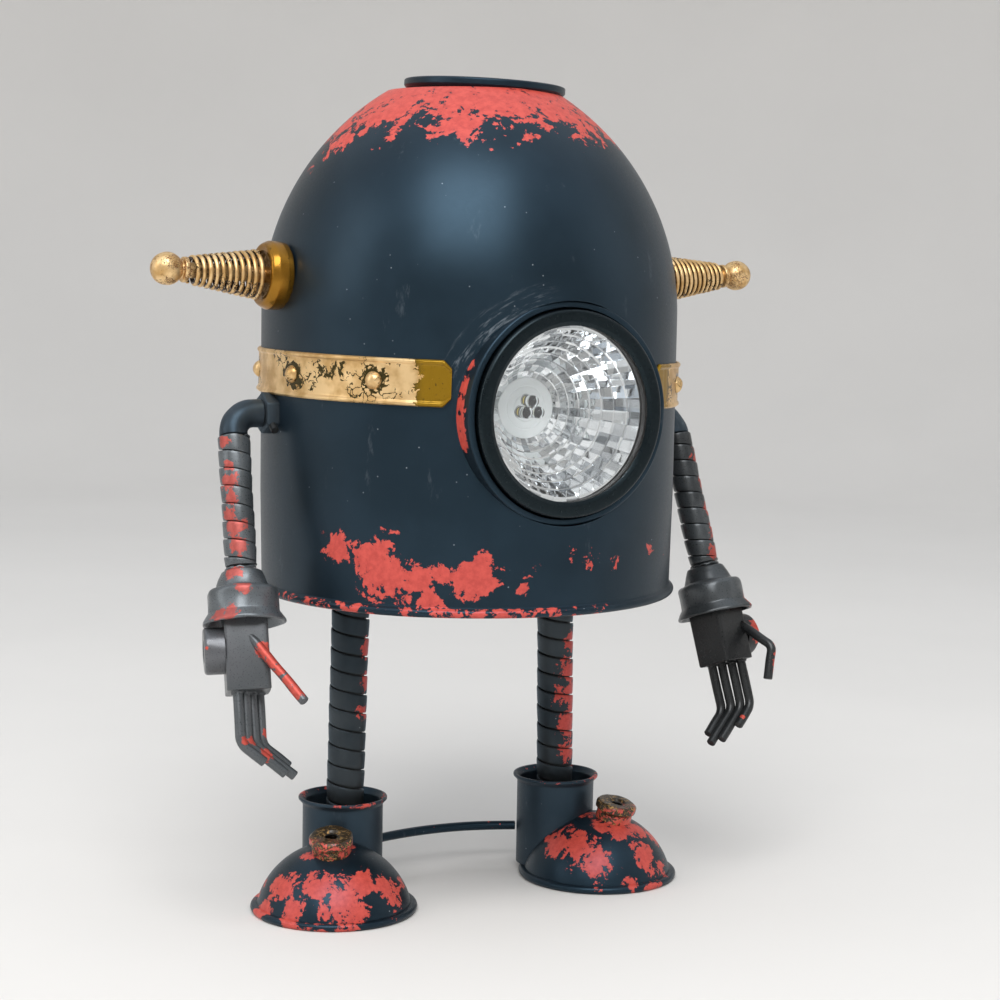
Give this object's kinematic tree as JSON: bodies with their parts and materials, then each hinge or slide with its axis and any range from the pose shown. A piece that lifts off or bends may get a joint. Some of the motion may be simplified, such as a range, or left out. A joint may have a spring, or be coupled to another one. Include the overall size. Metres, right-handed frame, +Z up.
{
  "type": "robot shaped desk lamp",
  "caption": "Desk lamp shaped like a one-eyed robot: domed steel body with a round lamp as the eye, two legs on bowl feet, arms that swing at the shoulders.",
  "frame": {"origin": "on the floor plane, at the middle of the outline seen from above", "axes": "+Z up; the lamp's eye faces -Y; +X is the robot's left hand side, on the right seen from the front"},
  "size_m": [0.2846, 0.18, 0.3482],
  "materials": {
    "body_black": "satin black paint with vermilion chips",
    "gold_leaf": "gold leaf over dark lacquer, worn",
    "gunmetal": "gunmetal grey paint with red patches",
    "bare_steel": "blackened steel",
    "bezel_black": "satin black moulding",
    "clear_lens": "clear polished",
    "seal_rubber": "matt",
    "mirror_bright": "vacuum plated mirror",
    "carrier_white": "white moulding",
    "led_clear": "clear resin",
    "solar_cell": "dark cell under clear resin",
    "board_green": "green board",
    "cell_wrap": "blue wrapped cell",
    "tray_plastic": "black moulding",
    "lead_jacket": "soft jacket",
    "switch_black": "black moulding"
  },
  "bodies": {
    "root": {"body_shell": "body_black", "crown_flange": "body_black", "eye_collar": "body_black", "foot_bowl_left": "body_black", "foot_bowl_right": "body_black", "ankle_cup_left": "body_black", "ankle_cup_right": "body_black", "heel_brace": "body_black", "belt_band": "gold_leaf", "belt_rivets": "gold_leaf", "ear_cup_left": "gold_leaf", "ear_cup_right": "gold_leaf", "ear_rod_left": "gold_leaf", "ear_rod_right": "gold_leaf", "ear_coil_left": "gold_leaf", "ear_coil_right": "gold_leaf", "toe_rings": "gold_leaf", "shoulder_nut_left": "gunmetal", "shoulder_nut_right": "gunmetal", "shoulder_screws": "gunmetal", "leg_sleeve_left": "gunmetal", "leg_sleeve_right": "gunmetal", "shoulder_pin_left": "bare_steel", "shoulder_pin_right": "bare_steel", "leg_tube_left": "bare_steel", "leg_tube_right": "bare_steel", "leg_nuts": "bare_steel", "base_plate": "bare_steel", "base_tabs": "bare_steel", "base_screws": "bare_steel", "lamp_bezel": "bezel_black", "lamp_housing": "bezel_black", "lamp_lens": "clear_lens", "lens_seal": "seal_rubber", "crown_seal": "seal_rubber", "foot_soles": "seal_rubber", "lamp_reflector": "mirror_bright", "led_carrier": "carrier_white", "lamp_leds": "led_clear", "solar_disc": "solar_cell", "charge_board": "board_green", "battery_cell": "cell_wrap", "battery_tray": "tray_plastic", "inner_leads": "lead_jacket", "switch_body": "switch_black"},
    "arm_left": {"elbow_left": "gunmetal", "arm_tube_left": "bare_steel", "arm_sleeve_left": "gunmetal", "wrist_bell_left": "gunmetal", "palm_block_left": "gunmetal", "palm_bush_left": "gunmetal", "hand_rods_left": "gunmetal"},
    "arm_right": {"elbow_right": "gunmetal", "arm_tube_right": "bare_steel", "arm_sleeve_right": "gunmetal", "wrist_bell_right": "gunmetal", "palm_block_right": "gunmetal", "palm_bush_right": "gunmetal", "hand_rods_right": "gunmetal"},
    "rocker": {"switch_rocker": "switch_black"}
  },
  "joints": [
    {"name": "shoulder_left", "type": "hinge", "parent": "root", "child": "arm_left", "pos_m": [-0.0975, 0.0046, 0.2089], "axis": [-1, 0, 0], "range_deg": [-40, 70]},
    {"name": "shoulder_right", "type": "hinge", "parent": "root", "child": "arm_right", "pos_m": [0.0975, 0.0046, 0.2047], "axis": [-1, 0, 0], "range_deg": [-40, 70]},
    {"name": "rocker_press", "type": "hinge", "parent": "root", "child": "rocker", "pos_m": [0, 0.08612, 0.165], "axis": [-1, 0, 0], "range_deg": [0, 14]}
  ]
}
